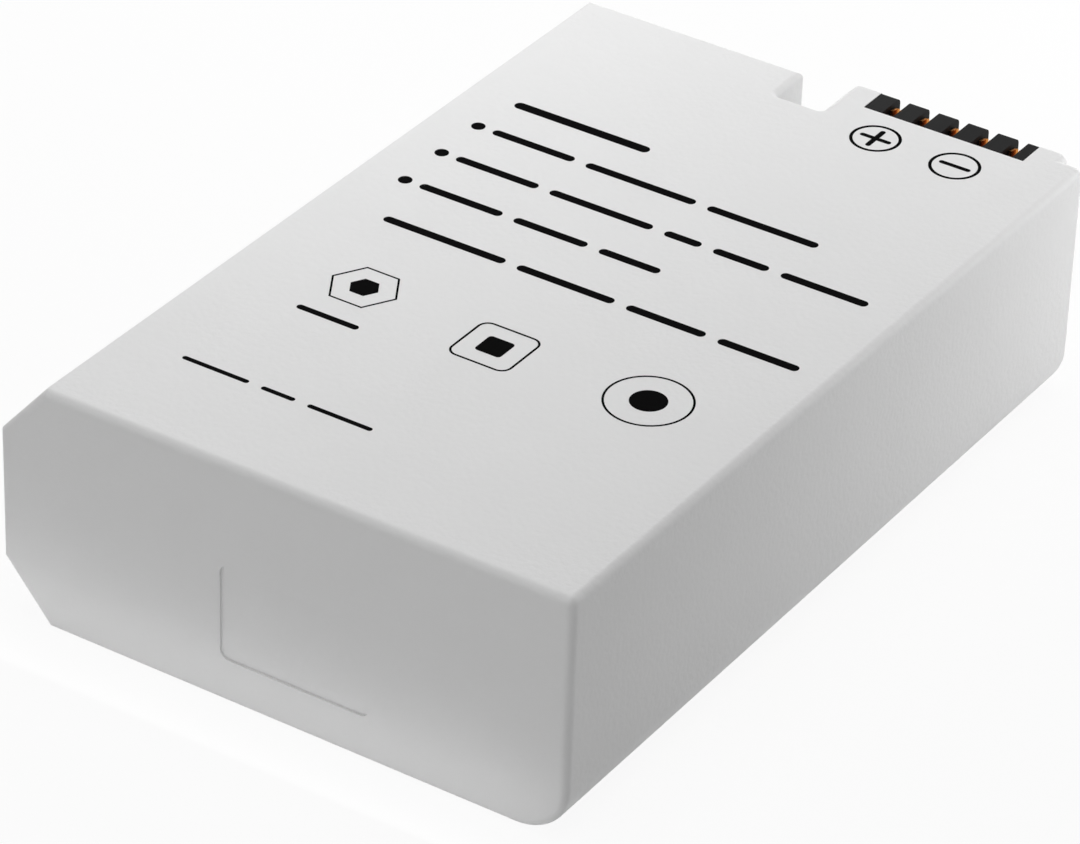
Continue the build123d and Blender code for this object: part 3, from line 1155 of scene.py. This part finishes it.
@dataclass
class Studio:
    """The floor, the light and the camera.

    Attributes:
        floor_side: Side of the floor.
        floor_color: Colour of the floor.
        floor_roughness: Roughness of the floor.
        floor_white: Share of the floor that shows as plain white, the rest keeping the shadow.
        white: Colour of the background.
        white_level: Strength at which that shows as plain white.
        ambient: Colour of the light from all round.
        ambient_level: Its strength.
        lamps: The soft boxes.
        camera_place: Where the camera stands.
        camera_aim: Point in the middle of its picture.
        camera_roll: Its turn about the line of sight, in degrees.
        camera_lens: Focal length in millimetres.
        camera_sensor: Width of the sensor in millimetres.
    """

    floor_side: float = 4.0
    floor_color: Color = (0.9, 0.9, 0.9)
    floor_roughness: float = 0.9
    floor_white: float = 0.92
    white: Color = (1.0, 1.0, 1.0)
    white_level: float = 1.0
    ambient: Color = (1.0, 1.0, 1.0)
    ambient_level: float = 0.04
    lamps: tuple[SoftBox, ...] = (
        SoftBox("top_softbox", (0.0, 0.0, 0.4), (0.0, 0.0, 0.0), (0.3, 0.3), 0.71),
        SoftBox("front_softbox", (-0.2, -0.24, 0.14), (0.0, -0.02, 0.008), (0.2, 0.16), 0.08),
        SoftBox("floor_softbox", (0.0, -0.1, 0.05), (0.0, -0.06, 0.0), (0.12, 0.05), 0.015),
        SoftBox("back_softbox", (-0.06, 0.07, 0.07), (-0.008, 0.016, 0.014), (0.08, 0.05), 0.033),
        SoftBox("left_softbox", (-0.05, 0.02, 0.07), (-0.012, 0.014, 0.0155), (0.05, 0.05), 0.0103),
        SoftBox("right_softbox", (0.06, 0.05, 0.03), (0.018, 0.02, 0.008), (0.05, 0.04), 0.0139),
        SoftBox("end_softbox", (0.03, 0.08, 0.02), (0.005, 0.026, 0.012), (0.05, 0.03), 0.015),
        SoftBox("front_strip", (-0.003, -0.0316, 0.001), (-0.003, -0.0276, 0.001), (0.042, 0.0014), 0.0002),
    )
    camera_place: Place = (0.139681, -0.223412, 0.175013)
    camera_aim: Place = (0.00083, -0.00334, 0.007)
    camera_roll: float = 1.9794
    camera_lens: float = 183.41
    camera_sensor: float = 36.0

    def build(self) -> None:
        """Sets up everything round the battery."""
        self.lay_floor()
        self.light_room()
        for lamp in self.lamps:
            lamp.hang()
        self.stand_camera()

    @staticmethod
    def seen_directly(nodes: Nodes) -> bpy.types.NodeSocket:
        """Finds the rays that show a background.

        Args:
            nodes: Nodes of the floor's material or of the world.

        Returns:
            Output that is 1 for rays of the camera, of reflections and through glass.
        """
        path = nodes.add("ShaderNodeLightPath").outputs
        mirrored = nodes.math("MAXIMUM", path["Is Glossy Ray"], path["Is Transmission Ray"])
        return nodes.math("MAXIMUM", path["Is Camera Ray"], mirrored)

    def lay_floor(self) -> None:
        """Lays the pale floor."""
        data = bpy.data.meshes.new("floor")
        drawn = bmesh.new()
        bmesh.ops.create_grid(drawn, x_segments=1, y_segments=1, size=self.floor_side / 2)
        drawn.to_mesh(data)
        drawn.free()
        material = bpy.data.materials.new("pale_floor")
        nodes = Nodes.fresh(material)
        matt = nodes.add(
            "ShaderNodeBsdfDiffuse", {"Color": opaque(self.floor_color), "Roughness": self.floor_roughness}
        )
        white = nodes.add("ShaderNodeEmission", {"Color": opaque(self.white), "Strength": self.white_level})
        share = nodes.math("MULTIPLY", self.seen_directly(nodes), self.floor_white)
        shown = nodes.add("ShaderNodeMixShader", {0: share, 1: matt.outputs[0], 2: white.outputs[0]})
        nodes.add("ShaderNodeOutputMaterial", {"Surface": shown.outputs[0]})
        data.materials.append(material)
        floor = add_object("floor", data)

    def light_room(self) -> None:
        """Sets the light from all round and the white background."""
        world = bpy.data.worlds.new("white_room")
        nodes = Nodes.fresh(world)
        light, white = (
            nodes.add("ShaderNodeBackground", {"Color": opaque(color), "Strength": level})
            for color, level in ((self.ambient, self.ambient_level), (self.white, self.white_level))
        )
        shown = nodes.add(
            "ShaderNodeMixShader", {0: self.seen_directly(nodes), 1: light.outputs[0], 2: white.outputs[0]}
        )
        nodes.add("ShaderNodeOutputWorld", {"Surface": shown.outputs[0]})
        bpy.context.scene.world = world

    def stand_camera(self) -> None:
        """Sets the camera at the picture's viewing angle."""
        data = bpy.data.cameras.new("camera")
        data.lens = self.camera_lens
        data.sensor_width = self.camera_sensor
        camera = add_object("camera", data)
        turn = facing(self.camera_place, self.camera_aim).to_matrix()
        roll = Matrix.Rotation(math.radians(self.camera_roll), 3, "Z")
        camera.matrix_world = Matrix.Translation(self.camera_place) @ (turn @ roll).to_4x4()
        bpy.context.scene.camera = camera


def main() -> None:
    """Builds and dresses the battery, then the studio round it."""
    logging.basicConfig(level=logging.INFO, format="%(name)s: %(message)s")
    for assembly in (CaseShell(), TerminalEnd(), CellStack(), CellWiring(), ProtectionBoard()):
        assembly.build()
        assembly.dress()
    Studio().build()
    bpy.context.scene.view_settings.view_transform = "Standard"


if __name__ == "__main__":
    main()
